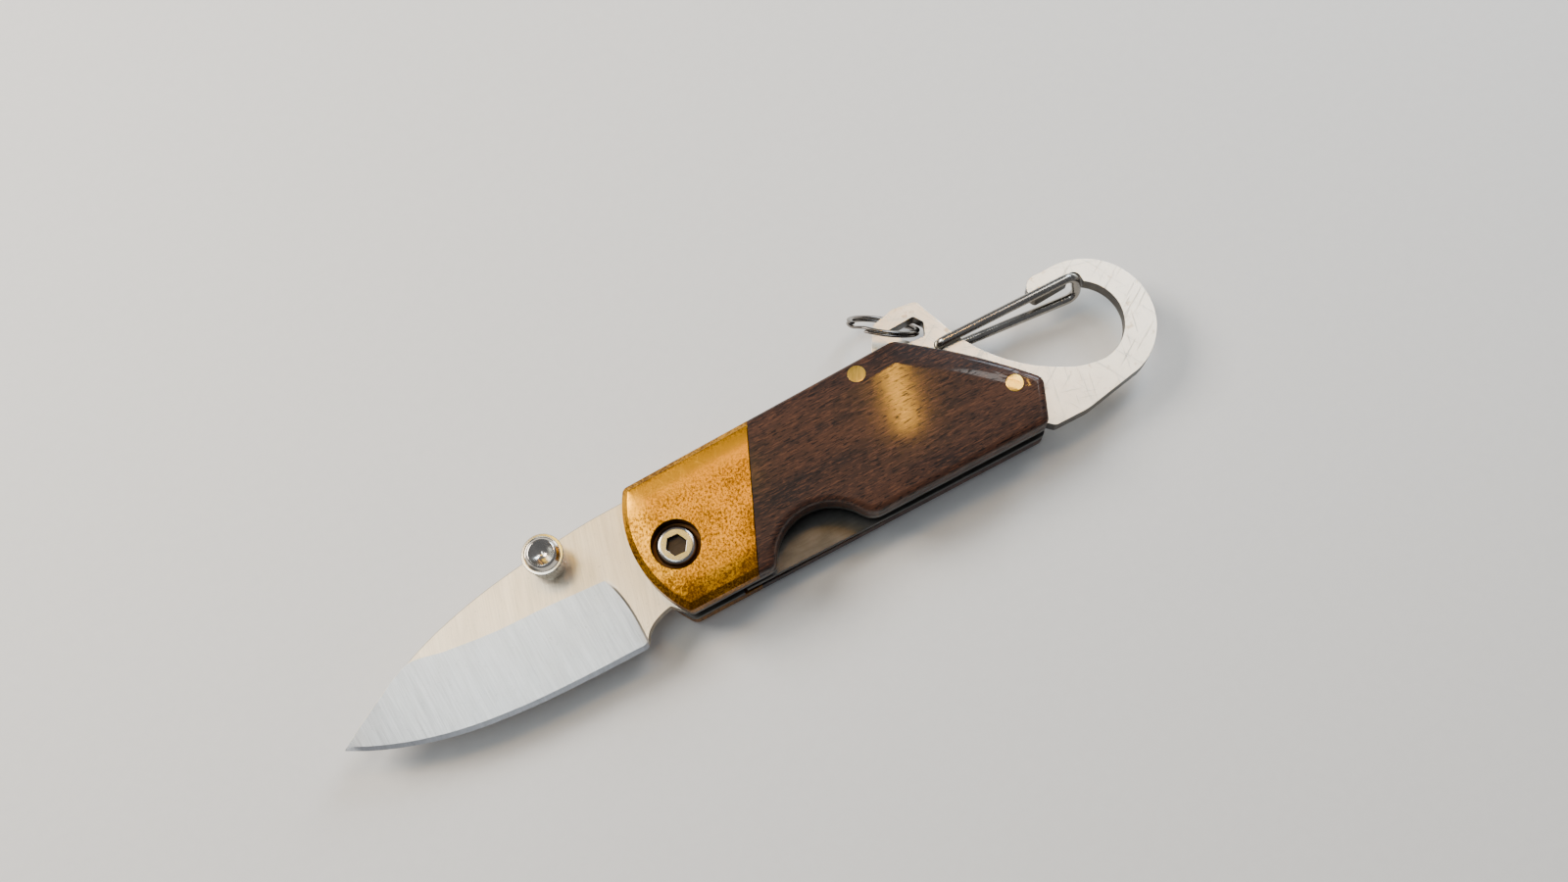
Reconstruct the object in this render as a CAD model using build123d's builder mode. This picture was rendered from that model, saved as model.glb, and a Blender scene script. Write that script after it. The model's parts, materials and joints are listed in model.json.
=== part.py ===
from build123d import *
from math import cos, radians, sin, tan
import os

# Small folding pocket knife with a liner lock and a snap-hook tail plate, lying open
# on its rear side. Millimetres. +X runs along the handle to the hook, +Y to the spine,
# +Z up through the front (show) side. The origin is under the middle of the open knife.

os.makedirs("parts", exist_ok=True)

# ---- driving dimensions ----------------------------------------------------------------
pivot_x = -11.25          # pivot axis, so that the open knife is centred on the origin
pivot_y = -4.87

scale_thk = 3.0           # wood scale and bolster, each side
liner_thk = 1.0
slot_thk = 2.4            # gap between the liners, filled by the hook plate
blade_thk = 2.06
washer_thk = 0.15
slip = 0.02               # radial play of pins that stay still
play = 0.03               # radial play of what turns

# handle outline corners, seen from the front and measured from the pivot
spine_front = (-2.8, 10.1)
spine_rear = (37.5, 11.25)
tail_bulge = (45.35, 4.75)
tail_point = (52.4, -2.7)
belly_rear = (49.9, -8.4)
belly_front = (-2.2, -8.4)
front_bulge = (-5.45, 0.9)
belly_y = -8.4
joint_x = 11.1            # bolster joint: where it crosses the pivot's height
joint_lean = 23.0         # degrees from square
notch_centre = (16.8, -10.8)
notch_r = 7.2
wood_round = 1.0
bolster_bevel = 0.8

# pivot
recess_r = 3.25
recess_depth = 2.0
head_r = 2.7
head_thk = 1.5
head_round = 0.7
hex_flats = 2.5
hex_depth = 1.0
hex_turn = 57             # degrees
screw_r = 1.5
screw_length = 6.5
barrel_r = 2.0
barrel_head_r = 2.9
barrel_head_thk = 1.2
barrel_sink = 0.3         # barrel head below the rear face
barrel_top_z = 7.9
driver_slot = 0.7
washer_r = 3.6

# blade
blade_root_x = -9.4       # where the ground bevel starts
heel = (-9.0, -9.15)
choil_bulge = (-7.1, -6.75)
choil_top = (-4.3, -5.85)
kick_outer = (-2.3, -7.7)
kick_inner = (-1.3, -7.9)
tang_spine = (0.44, 9.65)
tang_r = 6.9
tang_round = 1.5          # corner where the spine meets the tang
kick_round = 0.4
lock_face_x = 5.4
stop_pin_at = (1.5, 8.1)
stop_pin_r = 1.0
edge_half = 0.06          # half thickness left at the cutting edge
stations = (              # x, spine y, grind line y, edge y, half thickness at the spine
    (blade_root_x, 9.30, 1.10, -9.25, 1.03),
    (-18.5, 8.35, 1.65, -9.20, 1.03),
    (-26.0, 7.10, 1.90, -8.90, 1.03),
    (-32.5, 5.40, 2.65, -8.20, 1.03),
    (-37.5, 3.50, 3.40, -7.20, 1.03),
    (-42.0, 1.42, 1.32, -5.85, 0.78),
    (-46.0, -0.75, -0.85, -4.25, 0.42),
    (-49.0, -2.55, -2.60, -2.70, 0.08),
)
stud_at = (-15.6, 6.65)
stud_height = 6.0
stud_foot_r = 2.25        # plain collar on the blade
stud_foot_height = 1.7
stud_grip_r = 2.45        # knurled band
stud_flange_r = 2.72
stud_flange_drop = 1.2    # underside of the flange below the stud's top
stud_flange_thk = 0.35
stud_crown_r = 1.75       # bright ring round the dimple
stud_dimple_r = 1.62
stud_dimple_depth = 1.25
stud_shank_r = 1.25
stud_screw_r = 0.7
stud_screw_head_r = 1.9
stud_screw_reach = 2.0    # thread above the blade's front face
stud_bore_reach = 2.2
stud_socket_r = 0.45
stud_socket_depth = 0.25
countersink = 0.65

# hook plate: outline points and corner radii
plate_tab = ((28.9, 10.7), (34.3, 10.9), (36.8, 15.4), (40.3, 16.2), (43.7, 15.7), (45.9, 9.3))
plate_waist = ((45.9, 9.3), (49.15, 3.85), (56.0, -1.75))
plate_waist_end = (58.0, -2.75)
nose_inside = ((62.9, 8.35), (58.1, 8.1))
nose_tip = ((58.1, 8.1), (57.6, 9.8), (59.3, 11.3))
plate_heel = ((56.1, -8.5), (51.3, -8.45), (49.6, -6.9), (49.6, -4.4), (48.1, -3.6))
plate_tuck = ((48.1, -3.6), (46.85, -2.6), (46.6, -1.2))
plate_hidden = ((46.6, -1.2), (44.0, 0.6), (38.0, 3.0), (28.9, 6.9), (28.9, 10.7))
plate_rounds = (
    ((36.8, 15.4), 1.6), ((43.7, 15.7), 0.9), ((28.9, 10.7), 1.2),
    ((28.9, 6.9), 1.0), ((34.3, 10.9), 0.8), ((45.9, 9.3), 2.0), ((58.1, 8.1), 0.6),
    ((51.3, -8.45), 0.7), ((56.1, -8.5), 8.0),
)
ring_hole_outline = ((37.7, 13.75), (40.3, 10.9), (42.4, 10.7), (43.2, 12.6), (42.3, 13.95))
ring_hole_round = 0.5
hook_mouth_centre = (61.5, 2.5)
hook_mouth_r = 5.95
hook_back_centre = (62.2, 2.0)
hook_back_r = 9.3
gate_hole_at = (43.45, 8.7)
wire_r = 0.65
gate_play = 0.08          # radial play of the gate's ends in their hole
wire_gap = 0.08           # between a gate leg and the plate face
gate_tip_x = 64.1
gate_front_y = 8.5        # the front leg's height at the hook's nose
gate_rear_y = 6.9
gate_bend_r = 1.5
gate_stub_bend_r = 0.72   # where a leg drops into its hole
gate_seat_r = 1.0         # notch for the gate's tip
gate_seat_shift = (-0.15, -0.25)
stub_depth = 1.1          # how far each leg reaches into its hole
ring_centre = (38.35, 15.05)
ring_heading = -38.3      # degrees, the way from outside the tab into its hole
ring_lean = 32            # degrees from upright
ring_r = 4.65             # to the middle of the wire
ring_half_width = 0.5
ring_half_depth = 0.45

# rivets and dowels
spine_pin_at = (31.1, 9.2)
tail_pin_at = (48.6, -1.7)
rivets_at = (spine_pin_at, tail_pin_at)
rivet_r = 1.2
dowel_r = 0.75
dowel_grip = 1.8          # length inside a bolster
dowels_at = ((8.8, 5.0), (-1.9, -5.9))

# lock leaf, cut out of the rear liner
leaf_tip_x = 5.5
leaf_root_x = 36.0
leaf_bend_x = 31.0
leaf_top_y = -1.8
leaf_lift = 1.25
saw_gap = 0.4

# levels from the rear face up
rear_liner_z = scale_thk
slot_z = rear_liner_z + liner_thk
front_liner_z = slot_z + slot_thk
front_scale_z = front_liner_z + liner_thk
top_z = front_scale_z + scale_thk
mid_z = slot_z + slot_thk / 2
blade_z = mid_z - blade_thk / 2
blade_top_z = mid_z + blade_thk / 2


# ---- helpers ---------------------------------------------------------------------------
def level(z):
    """Plane at height z with its origin on the pivot axis."""
    return Plane(origin=(pivot_x, pivot_y, z))


def at(point, z):
    """A point measured from the pivot, as a location in the frame."""
    return Location((pivot_x + point[0], pivot_y + point[1], z))


def joint_at(y):
    """X of the bolster joint at height y."""
    return joint_x + y * tan(radians(joint_lean))


def handle_profile(notched=False):
    """Side outline of the handle, with the thumb notch on request."""
    with BuildSketch() as profile:
        with BuildLine():
            Line(spine_front, spine_rear)
            ThreePointArc(spine_rear, tail_bulge, tail_point)
            Line(tail_point, belly_rear)
            Line(belly_rear, belly_front)
            ThreePointArc(belly_front, front_bulge, spine_front)
        make_face()
        corners = (
            (spine_front, 1.0), (spine_rear, 2.0), (tail_point, 1.4),
            (belly_rear, 1.1), (belly_front, 1.0),
        )
        for corner, radius in corners:
            fillet(profile.vertices().sort_by_distance(corner)[0], radius)
        if notched:
            with Locations(notch_centre):
                Circle(notch_r, mode=Mode.SUBTRACT)
            half = (notch_r**2 - (belly_y - notch_centre[1]) ** 2) ** 0.5
            for side, radius in ((-1, 1.1), (1, 3.0)):
                corner = (notch_centre[0] + side * half, belly_y)
                fillet(profile.vertices().sort_by_distance(corner)[0], radius)
    return profile.sketch


def front_of_joint(reach=15):
    """Area ahead of the bolster joint."""
    with BuildSketch() as area:
        Polygon(
            (joint_at(reach), reach), (-2 * reach, reach),
            (-2 * reach, -reach), (joint_at(-reach), -reach), align=None,
        )
    return area.sketch


def clear_of_joint(edge):
    """True for an edge that doesn't run along the bolster joint."""
    middle = edge @ 0.5
    return abs(middle.X - pivot_x - joint_at(middle.Y - pivot_y)) > 0.01


def cover_rim(solid, outward):
    """Outer edges of a bolster or a wood scale, without its joint edge."""
    face = solid.faces().sort_by(Axis.Z)[outward]
    return face.outer_wire().edges().filter_by(clear_of_joint)


def cut_round(z, radius, height, spot=(0, 0)):
    """Cut an upright round hole that starts at height z."""
    with BuildSketch(Plane(at(spot, z))) as round_hole:
        Circle(radius)
    extrude(round_hole.sketch, amount=height, mode=Mode.SUBTRACT)


def on_circle(centre, radius, degrees):
    """Point on a circle."""
    turn = radians(degrees)
    return (centre[0] + radius * cos(turn), centre[1] + radius * sin(turn))


def save(solid, name):
    """Label a finished piece and write it."""
    solid.label = name
    export_step(solid, f"parts/{name}.step")


# ---- bolsters --------------------------------------------------------------------------
with BuildPart() as front_bolster:
    with BuildSketch(level(front_scale_z)):
        add(handle_profile())
        add(front_of_joint(), mode=Mode.INTERSECT)
    extrude(amount=scale_thk)
    chamfer(cover_rim(front_bolster, -1), bolster_bevel)
    with Locations(at((0, 0), top_z)):
        CounterBoreHole(screw_r + slip, recess_r, recess_depth)
    cut_round(front_scale_z, barrel_r + slip, barrel_top_z - front_scale_z + slip)
    for spot in dowels_at:
        cut_round(front_scale_z, dowel_r + slip, dowel_grip, spot)
save(front_bolster.part, "front_bolster")

with BuildPart() as rear_bolster:
    with BuildSketch(level(0)):
        add(handle_profile())
        add(front_of_joint(), mode=Mode.INTERSECT)
    extrude(amount=scale_thk)
    chamfer(cover_rim(rear_bolster, 0), bolster_bevel)
    cut_round(0, barrel_head_r + slip, barrel_head_thk + barrel_sink)
    cut_round(0, barrel_r + slip, scale_thk)
    for spot in dowels_at:
        cut_round(rear_liner_z - dowel_grip, dowel_r + slip, dowel_grip, spot)
save(rear_bolster.part, "rear_bolster")

with BuildPart() as bolster_dowels:
    for spot in dowels_at:
        with BuildSketch(Plane(at(spot, rear_liner_z - dowel_grip))):
            Circle(dowel_r)
        extrude(amount=dowel_grip + liner_thk)
        with BuildSketch(Plane(at(spot, front_liner_z))):
            Circle(dowel_r)
        extrude(amount=dowel_grip + liner_thk)
save(bolster_dowels.part, "bolster_dowels")


# ---- wood scales -----------------------------------------------------------------------
with BuildPart() as front_scale:
    with BuildSketch(level(front_scale_z)):
        add(handle_profile(notched=True))
        add(front_of_joint(), mode=Mode.SUBTRACT)
    extrude(amount=scale_thk)
    fillet(cover_rim(front_scale, -1), wood_round)
    for spot in rivets_at:
        cut_round(front_scale_z, rivet_r + slip, scale_thk, spot)
save(front_scale.part, "front_scale")

with BuildPart() as rear_scale:
    with BuildSketch(level(0)):
        add(handle_profile())
        add(front_of_joint(), mode=Mode.SUBTRACT)
    extrude(amount=scale_thk)
    fillet(cover_rim(rear_scale, 0), wood_round)
    for spot in rivets_at:
        cut_round(0, rivet_r + slip, scale_thk, spot)
save(rear_scale.part, "rear_scale")


# ---- rivets, trimmed flush with the rounded wood ---------------------------------------
with BuildPart(mode=Mode.PRIVATE) as handle_block:
    with BuildSketch(level(0)):
        add(handle_profile())
    extrude(amount=top_z)
    fillet(handle_block.faces().sort_by(Axis.Z)[-1].outer_wire().edges(), bolster_bevel)
    fillet(handle_block.faces().sort_by(Axis.Z)[0].outer_wire().edges(), bolster_bevel)

for spot, name in ((spine_pin_at, "spine_pin"), (tail_pin_at, "tail_pin")):
    with BuildPart() as rivet:
        with BuildSketch(Plane(at(spot, 0))):
            Circle(rivet_r)
        extrude(amount=top_z)
        add(handle_block.part, mode=Mode.INTERSECT)
    save(rivet.part, name)


# ---- liners and lock leaf --------------------------------------------------------------
def liner_holes():
    """Cut the holes that both liners share into the open sketch."""
    Circle(barrel_r + slip, mode=Mode.SUBTRACT)
    with Locations(stop_pin_at):
        Circle(stop_pin_r + slip, mode=Mode.SUBTRACT)
    with Locations(*dowels_at):
        Circle(dowel_r + slip, mode=Mode.SUBTRACT)
    with Locations(*rivets_at):
        Circle(rivet_r + slip, mode=Mode.SUBTRACT)


with BuildPart() as front_liner:
    with BuildSketch(level(front_liner_z)):
        add(handle_profile(notched=True))
        liner_holes()
    extrude(amount=liner_thk)
save(front_liner.part, "front_liner")

with BuildPart() as rear_liner:
    with BuildSketch(level(rear_liner_z)):
        add(handle_profile())
        liner_holes()
        with Locations((leaf_tip_x - saw_gap, leaf_top_y + saw_gap)):
            Rectangle(
                leaf_root_x - leaf_tip_x + saw_gap, 2 * tang_r,
                align=(Align.MIN, Align.MAX), mode=Mode.SUBTRACT,
            )
    extrude(amount=liner_thk)
save(rear_liner.part, "rear_liner")

with BuildPart() as lock_leaf:
    with BuildSketch(Plane(origin=(pivot_x, pivot_y, 0), x_dir=(1, 0, 0), z_dir=(0, -1, 0))):
        Polygon(
            (leaf_tip_x, rear_liner_z + leaf_lift), (leaf_bend_x, rear_liner_z),
            (leaf_root_x, rear_liner_z), (leaf_root_x, slot_z),
            (leaf_bend_x, slot_z), (leaf_tip_x, slot_z + leaf_lift), align=None,
        )
    extrude(amount=-belly_y)
    with BuildSketch(level(0)):
        with Locations((leaf_tip_x, leaf_top_y)):
            Rectangle(
                leaf_root_x - leaf_tip_x, leaf_top_y - belly_y,
                align=(Align.MIN, Align.MAX),
            )
    extrude(amount=top_z, mode=Mode.INTERSECT)
save(lock_leaf.part, "lock_leaf")


# ---- pivot -----------------------------------------------------------------------------
screw_seat_z = top_z - recess_depth

with BuildPart() as pivot_screw:
    with BuildSketch(level(screw_seat_z)):
        Circle(head_r)
    extrude(amount=head_thk)
    fillet(pivot_screw.faces().sort_by(Axis.Z)[-1].outer_wire().edges(), head_round)
    with BuildSketch(level(screw_seat_z + head_thk - hex_depth)):
        RegularPolygon(hex_flats / 2, 6, major_radius=False, rotation=hex_turn)
    extrude(amount=hex_depth, mode=Mode.SUBTRACT)
    with BuildSketch(level(screw_seat_z - screw_length)):
        Circle(screw_r)
    extrude(amount=screw_length)
save(pivot_screw.part, "pivot_screw")

with BuildPart() as pivot_barrel:
    with BuildSketch(level(barrel_sink)):
        Circle(barrel_head_r)
    extrude(amount=barrel_head_thk)
    with BuildSketch(level(barrel_sink)):
        Circle(barrel_r)
    extrude(amount=barrel_top_z - barrel_sink)
    cut_round(screw_seat_z - screw_length - slip, screw_r + slip, screw_length)
    with BuildSketch(level(barrel_sink)):
        Rectangle(2 * barrel_head_r, driver_slot)
    extrude(amount=driver_slot, mode=Mode.SUBTRACT)
save(pivot_barrel.part, "pivot_barrel")

for z, name in ((slot_z, "rear_washer"), (front_liner_z - washer_thk, "front_washer")):
    with BuildPart() as washer:
        with BuildSketch(level(z)):
            Circle(washer_r)
            Circle(barrel_r + slip, mode=Mode.SUBTRACT)
        extrude(amount=washer_thk)
    save(washer.part, name)

with BuildPart() as stop_pin:
    with BuildSketch(Plane(at(stop_pin_at, rear_liner_z))):
        Circle(stop_pin_r)
    extrude(amount=front_scale_z - rear_liner_z)
save(stop_pin.part, "stop_pin")


# ---- blade -----------------------------------------------------------------------------
def blade_section(x, spine, grind, edge, half):
    """Cross-section of the ground blade, square to its length."""
    across = Plane(origin=(pivot_x + x, pivot_y, mid_z), x_dir=(0, 1, 0), z_dir=(1, 0, 0))
    with BuildSketch(across) as cut:
        Polygon(
            (spine, half), (grind, half), (edge, edge_half),
            (edge, -edge_half), (grind, -half), (spine, -half), align=None,
        )
    return cut.sketch


def on_tang(x, side):
    """Point on the tang's round part, above (1) or below (-1) the pivot."""
    return (x, side * (tang_r**2 - x**2) ** 0.5)


with BuildPart() as blade:
    with BuildSketch(level(blade_z)) as tang:
        with BuildLine():
            root_spine = (blade_root_x, stations[0][1])
            root_edge = (blade_root_x, stations[0][3])
            shoulder = on_tang(tang_spine[0], 1)
            lock_face_top = on_tang(lock_face_x, 1)
            lock_face_foot = on_tang(lock_face_x, -1)
            kick_root = on_tang(kick_inner[0], -1)
            Polyline(root_spine, tang_spine, shoulder)
            ThreePointArc(shoulder, on_circle((0, 0), tang_r, 62), lock_face_top)
            Line(lock_face_top, lock_face_foot)
            ThreePointArc(lock_face_foot, on_circle((0, 0), tang_r, -70), kick_root)
            Polyline(kick_root, kick_inner, kick_outer, choil_top)
            ThreePointArc(choil_top, choil_bulge, heel)
            Polyline(heel, root_edge, root_spine)
        make_face()
        fillet(tang.vertices().sort_by_distance(tang_spine)[0], tang_round)
        fillet(tang.vertices().sort_by_distance(kick_outer)[0], kick_round)
        Circle(barrel_r + play, mode=Mode.SUBTRACT)
    extrude(amount=blade_thk)
    loft([blade_section(*station) for station in stations], ruled=True)
    cut_round(blade_z, stud_shank_r + slip, blade_thk, stud_at)
    with Locations(Plane(at(stud_at, blade_z))):
        Cone(
            stud_screw_head_r + slip, stud_shank_r + slip, countersink,
            align=(Align.CENTER, Align.CENTER, Align.MIN), mode=Mode.SUBTRACT,
        )
save(blade.part, "blade")


# ---- thumb stud ------------------------------------------------------------------------
stud_foot_z = blade_z + countersink
stud_top_z = blade_top_z + stud_height
stud_axis = Axis((pivot_x + stud_at[0], pivot_y + stud_at[1], 0), (0, 0, 1))
stud_profile = Plane(
    origin=(pivot_x + stud_at[0], pivot_y + stud_at[1], 0), x_dir=(1, 0, 0), z_dir=(0, -1, 0)
)

with BuildPart() as thumb_stud:
    flange_z = stud_top_z - stud_flange_drop
    flange_top_z = flange_z + stud_flange_thk
    grip_z = blade_top_z + stud_foot_height
    with BuildSketch(stud_profile):
        Polygon(
            (stud_screw_r + slip, stud_foot_z), (stud_shank_r, stud_foot_z),
            (stud_shank_r, blade_top_z), (stud_foot_r, blade_top_z), (stud_foot_r, grip_z),
            (stud_grip_r, grip_z), (stud_grip_r, flange_z), (stud_flange_r, flange_z),
            (stud_flange_r, flange_top_z), (stud_foot_r, flange_top_z),
            (stud_crown_r, stud_top_z), (stud_dimple_r, stud_top_z),
            (0, stud_top_z - stud_dimple_depth), (0, blade_top_z + stud_bore_reach),
            (stud_screw_r + slip, blade_top_z + stud_bore_reach), align=None,
        )
    revolve(axis=stud_axis)
save(thumb_stud.part, "thumb_stud")

with BuildPart() as stud_screw:
    with BuildSketch(stud_profile):
        Polygon(
            (0, blade_z + stud_socket_depth), (stud_socket_r, blade_z + stud_socket_depth),
            (stud_socket_r, blade_z), (stud_screw_head_r, blade_z),
            (stud_shank_r, stud_foot_z - slip), (stud_screw_r, stud_foot_z - slip),
            (stud_screw_r, blade_top_z + stud_screw_reach),
            (0, blade_top_z + stud_screw_reach), align=None,
        )
    revolve(axis=stud_axis)
save(stud_screw.part, "stud_screw")


# ---- hook plate ------------------------------------------------------------------------
with BuildPart() as hook_plate:
    with BuildSketch(level(slot_z)) as plate:
        with BuildLine():
            mouth_low = on_circle(hook_mouth_centre, hook_mouth_r, 256)
            mouth_mid = on_circle(hook_mouth_centre, hook_mouth_r, -22)
            mouth_high = on_circle(hook_mouth_centre, hook_mouth_r, 59)
            back_high = on_circle(hook_back_centre, hook_back_r, 97)
            back_mid = on_circle(hook_back_centre, hook_back_r, 0)
            back_low = on_circle(hook_back_centre, hook_back_r, -73)
            # tab and waist
            Polyline(*plate_tab)
            ThreePointArc(*plate_waist)
            ThreePointArc(plate_waist[-1], plate_waist_end, mouth_low)
            # mouth of the hook and its nose
            ThreePointArc(mouth_low, mouth_mid, mouth_high)
            Polyline(mouth_high, *nose_inside)
            ThreePointArc(*nose_tip)
            Line(nose_tip[-1], back_high)
            ThreePointArc(back_high, back_mid, back_low)
            Polyline(back_low, *plate_heel)
            # hidden edge over the closed blade
            ThreePointArc(*plate_tuck)
            Polyline(*plate_hidden)
        make_face()
        for corner, radius in plate_rounds:
            fillet(plate.vertices().sort_by_distance(corner)[0], radius)
        with Locations(*rivets_at):
            Circle(rivet_r + slip, mode=Mode.SUBTRACT)
        with Locations(gate_hole_at):
            Circle(wire_r + gate_play, mode=Mode.SUBTRACT)
        # seat of the gate's tip under the nose
        seat_at = (gate_tip_x + gate_seat_shift[0], gate_front_y + gate_seat_shift[1])
        with Locations(seat_at):
            Circle(gate_seat_r, mode=Mode.SUBTRACT)
            Rectangle(
                2 * gate_seat_r, 2 * gate_seat_r,
                align=(Align.CENTER, Align.MAX), mode=Mode.SUBTRACT,
            )
    extrude(amount=slot_thk)
    with BuildSketch(level(slot_z)) as ring_hole:
        Polygon(*ring_hole_outline, align=None)
        fillet(ring_hole.vertices(), ring_hole_round)
    extrude(amount=slot_thk, mode=Mode.SUBTRACT)
save(hook_plate.part, "hook_plate")


# ---- wire gate -------------------------------------------------------------------------
gate_front_z = front_liner_z + wire_gap + wire_r
gate_rear_z = slot_z - wire_gap - wire_r


def gate_point(x, y, z):
    """A point of the gate's centre line, measured from the pivot."""
    return (pivot_x + x, pivot_y + y, z)


with BuildPart() as wire_gate:
    with BuildLine() as centre_line:
        hole_x, hole_y = gate_hole_at
        FilletPolyline(
            gate_point(hole_x, hole_y, gate_front_z - stub_depth - wire_r),
            gate_point(hole_x, hole_y, gate_front_z),
            gate_point(gate_tip_x, gate_front_y, gate_front_z),
            gate_point(gate_tip_x, gate_rear_y, gate_rear_z),
            gate_point(hole_x, hole_y, gate_rear_z),
            gate_point(hole_x, hole_y, gate_rear_z + stub_depth + wire_r),
            radius=(gate_stub_bend_r, gate_bend_r, gate_bend_r, gate_stub_bend_r),
        )
    with BuildSketch(Plane(origin=centre_line.line @ 0, z_dir=centre_line.line % 0)):
        Circle(wire_r)
    sweep()
save(wire_gate.part, "wire_gate")


# ---- key ring --------------------------------------------------------------------------
heading = radians(ring_heading)
lean = radians(ring_lean)
ring_middle = Vector(pivot_x + ring_centre[0], pivot_y + ring_centre[1], mid_z)
ring_along = Vector(cos(heading), sin(heading), 0)
ring_up = Vector(sin(heading) * sin(lean), -cos(heading) * sin(lean), cos(lean))
ring_normal = ring_along.cross(ring_up)

with BuildPart() as key_ring:
    with BuildSketch(Plane(origin=ring_middle, x_dir=ring_along, z_dir=ring_up * -1)):
        with Locations((ring_r, 0)):
            Ellipse(ring_half_depth, ring_half_width)
    revolve(axis=Axis(ring_middle, ring_normal))
save(key_ring.part, "key_ring")
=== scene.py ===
import json
from math import atan2, cos, pi, radians, sin

import bpy
from mathutils import Euler, Matrix, Vector


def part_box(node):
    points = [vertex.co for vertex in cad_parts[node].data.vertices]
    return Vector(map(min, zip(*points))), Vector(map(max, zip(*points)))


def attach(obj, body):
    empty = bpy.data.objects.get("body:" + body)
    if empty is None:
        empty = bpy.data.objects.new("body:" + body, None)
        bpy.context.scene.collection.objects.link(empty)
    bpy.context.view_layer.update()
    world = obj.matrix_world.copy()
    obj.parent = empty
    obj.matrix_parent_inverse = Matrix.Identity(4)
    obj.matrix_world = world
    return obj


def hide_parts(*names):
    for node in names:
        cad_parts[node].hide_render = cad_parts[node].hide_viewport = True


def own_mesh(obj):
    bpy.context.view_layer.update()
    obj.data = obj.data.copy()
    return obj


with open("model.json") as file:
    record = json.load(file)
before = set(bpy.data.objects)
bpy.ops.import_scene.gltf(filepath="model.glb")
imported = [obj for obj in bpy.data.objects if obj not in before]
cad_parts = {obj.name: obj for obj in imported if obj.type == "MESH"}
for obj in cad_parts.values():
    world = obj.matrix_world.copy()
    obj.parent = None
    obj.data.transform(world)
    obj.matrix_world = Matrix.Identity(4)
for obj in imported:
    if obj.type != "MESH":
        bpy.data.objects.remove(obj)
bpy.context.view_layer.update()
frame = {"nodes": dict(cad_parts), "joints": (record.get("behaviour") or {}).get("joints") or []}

bl_info = {
    "name": "Pocket knife with hook tail",
    "version": (1, 0, 0),
    "blender": (4, 5, 0),
    "location": "View3D > Sidebar > Knife",
    "description": "Finishes the pieces of a small folding knife around its packed CAD frame",
    "category": "Object",
}

MM = 0.001

# ---- places taken from the frame -------------------------------------------------------
JOINTS = {joint["name"]: joint for joint in frame["joints"]}
PIVOT = Vector(JOINTS["blade_fold"]["pos_m"])
RING_CENTRE = Vector(JOINTS["ring_turn"]["pos_m"])
RING_AXIS = Vector(JOINTS["ring_turn"]["axis"])
BLADE_LOW, BLADE_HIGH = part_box("blade")
BLADE_MID_Z = (BLADE_LOW.z + BLADE_HIGH.z) / 2
STUD_LOW, STUD_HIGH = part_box("thumb_stud")
STUD_X = (STUD_LOW.x + STUD_HIGH.x) / 2
STUD_Y = (STUD_LOW.y + STUD_HIGH.y) / 2
TOP_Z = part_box("front_scale")[1].z


def from_pivot(x, y, z=0.0):
    """A point in millimetres from the pivot axis, as a place in the frame."""
    return Vector((PIVOT.x + x * MM, PIVOT.y + y * MM, z))


# ---- settings --------------------------------------------------------------------------
def length(name, description, millimetres):
    """A length property whose default is given in millimetres."""
    return bpy.props.FloatProperty(
        name=name, description=description, default=millimetres * MM, min=0.0,
        unit="LENGTH", subtype="DISTANCE", precision=5,
    )


def colour(name, description, red, green, blue):
    """A colour property."""
    return bpy.props.FloatVectorProperty(
        name=name, description=description, default=(red, green, blue),
        subtype="COLOR", min=0.0, max=1.0,
    )


class KnifeSizes(bpy.types.PropertyGroup):
    """Small sizes that finish the pieces."""

    brass_edge: length("Brass edge", "Wear rounding on the bolsters' edges", 0.09)
    wood_edge: length("Wood edge", "Rounding left on the scales' sharp edges", 0.06)
    plate_edge: length("Plate edge", "Stamped rounding on the hook plate's edges", 0.4)
    liner_edge: length("Liner edge", "Broken edge of the liners", 0.07)
    screw_edge: length("Screw edge", "Rounding on the screws and pins", 0.09)
    spine_chamfer: length("Spine chamfer", "Broken edge along the blade's spine", 0.14)
    honed_width: length("Honed width", "Width of the sharpened strip along the edge", 0.62)
    knurl_depth: length("Knurl depth", "Depth of the stud's slanted knurling", 0.11)
    ring_wire: length("Ring wire", "Width of one turn of the split ring's wire", 0.44)
    knurl_teeth: bpy.props.IntProperty(
        name="Knurl teeth", description="Teeth round the thumb stud", default=30, min=8
    )


class KnifeColours(bpy.types.PropertyGroup):
    """Base colours of the finishes."""

    steel: colour("Blade steel", "Satin ground steel", 0.70, 0.71, 0.72)
    plate: colour("Plate steel", "Tumbled stainless sheet", 0.86, 0.81, 0.70)
    brass: colour("Brass", "Worn brass of the bolsters", 0.72, 0.325, 0.010)
    patina: colour("Brass patina", "Darker stain on the brass", 0.24, 0.088, 0.004)
    wood: colour("Dark wood", "Ground colour of the wood", 0.011, 0.0050, 0.0042)
    wood_light: colour("Wood streaks", "Lighter streaks in the wood", 0.058, 0.0215, 0.0100)
    floor: colour("Floor", "Plain pale floor", 0.74, 0.73, 0.71)


# ---- shader expressions ----------------------------------------------------------------
class Signal:
    """One output socket; arithmetic on it adds Math nodes."""

    def __init__(self, finish, socket):
        self.finish = finish
        self.socket = socket

    def math(self, operation, first, second):
        """A Math node of two terms."""
        return self.finish.node("ShaderNodeMath", {"operation": operation}, [first, second])

    def __add__(self, other):
        return self.math("ADD", self, other)

    def __radd__(self, other):
        return self.math("ADD", other, self)

    def __sub__(self, other):
        return self.math("SUBTRACT", self, other)

    def __rsub__(self, other):
        return self.math("SUBTRACT", other, self)

    def __mul__(self, other):
        return self.math("MULTIPLY", self, other)

    def __rmul__(self, other):
        return self.math("MULTIPLY", other, self)


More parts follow.
